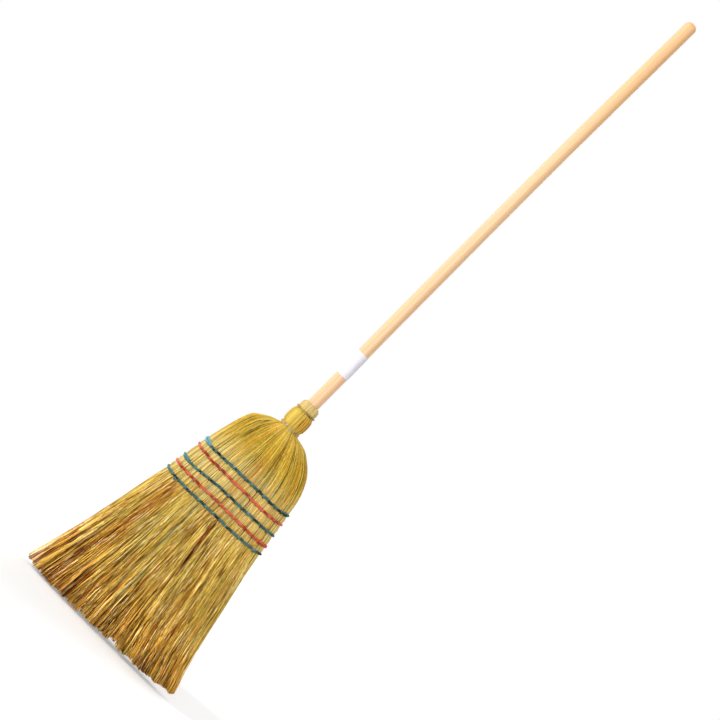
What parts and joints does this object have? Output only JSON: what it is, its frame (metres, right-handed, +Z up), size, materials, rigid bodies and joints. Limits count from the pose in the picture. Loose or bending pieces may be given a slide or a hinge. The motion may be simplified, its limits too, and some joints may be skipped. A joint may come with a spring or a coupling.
{
  "type": "straw broom",
  "caption": "Flat sewn straw broom on a long round wooden handle, with wire-bound neck, rounded shoulders, rows of twine stitching and a flared, trimmed skirt for sweeping floors.",
  "frame": {"origin": "on the floor, below the middle of the spread straw, with the broom standing upright on its trimmed straw", "axes": "+Z up the handle, -Y out of the broad front face, +X to the right seen from the front"},
  "size_m": [0.3548, 0.0692, 1.5],
  "materials": {
    "handle_wood": "satin",
    "label_paper": "matte",
    "core_straw": "matte",
    "shoulder_straw": "matte",
    "cover_straw": "matte",
    "neck_wire": "satin",
    "nail_steel": "satin",
    "blue_twine": "matte",
    "red_twine": "matte"
  },
  "bodies": {
    "root": {"handle": "handle_wood", "label": "label_paper", "core_straw": "core_straw", "left_shoulder_straw": "shoulder_straw", "right_shoulder_straw": "shoulder_straw", "front_cover_straw": "cover_straw", "back_cover_straw": "cover_straw", "inner_wire": "neck_wire", "lower_neck_wire": "neck_wire", "upper_neck_wire": "neck_wire", "wire_nail": "nail_steel", "stitch_row_1": "blue_twine", "stitch_row_2": "red_twine", "stitch_row_3": "blue_twine", "stitch_row_4": "red_twine", "stitch_row_5": "blue_twine"}
  },
  "joints": []
}
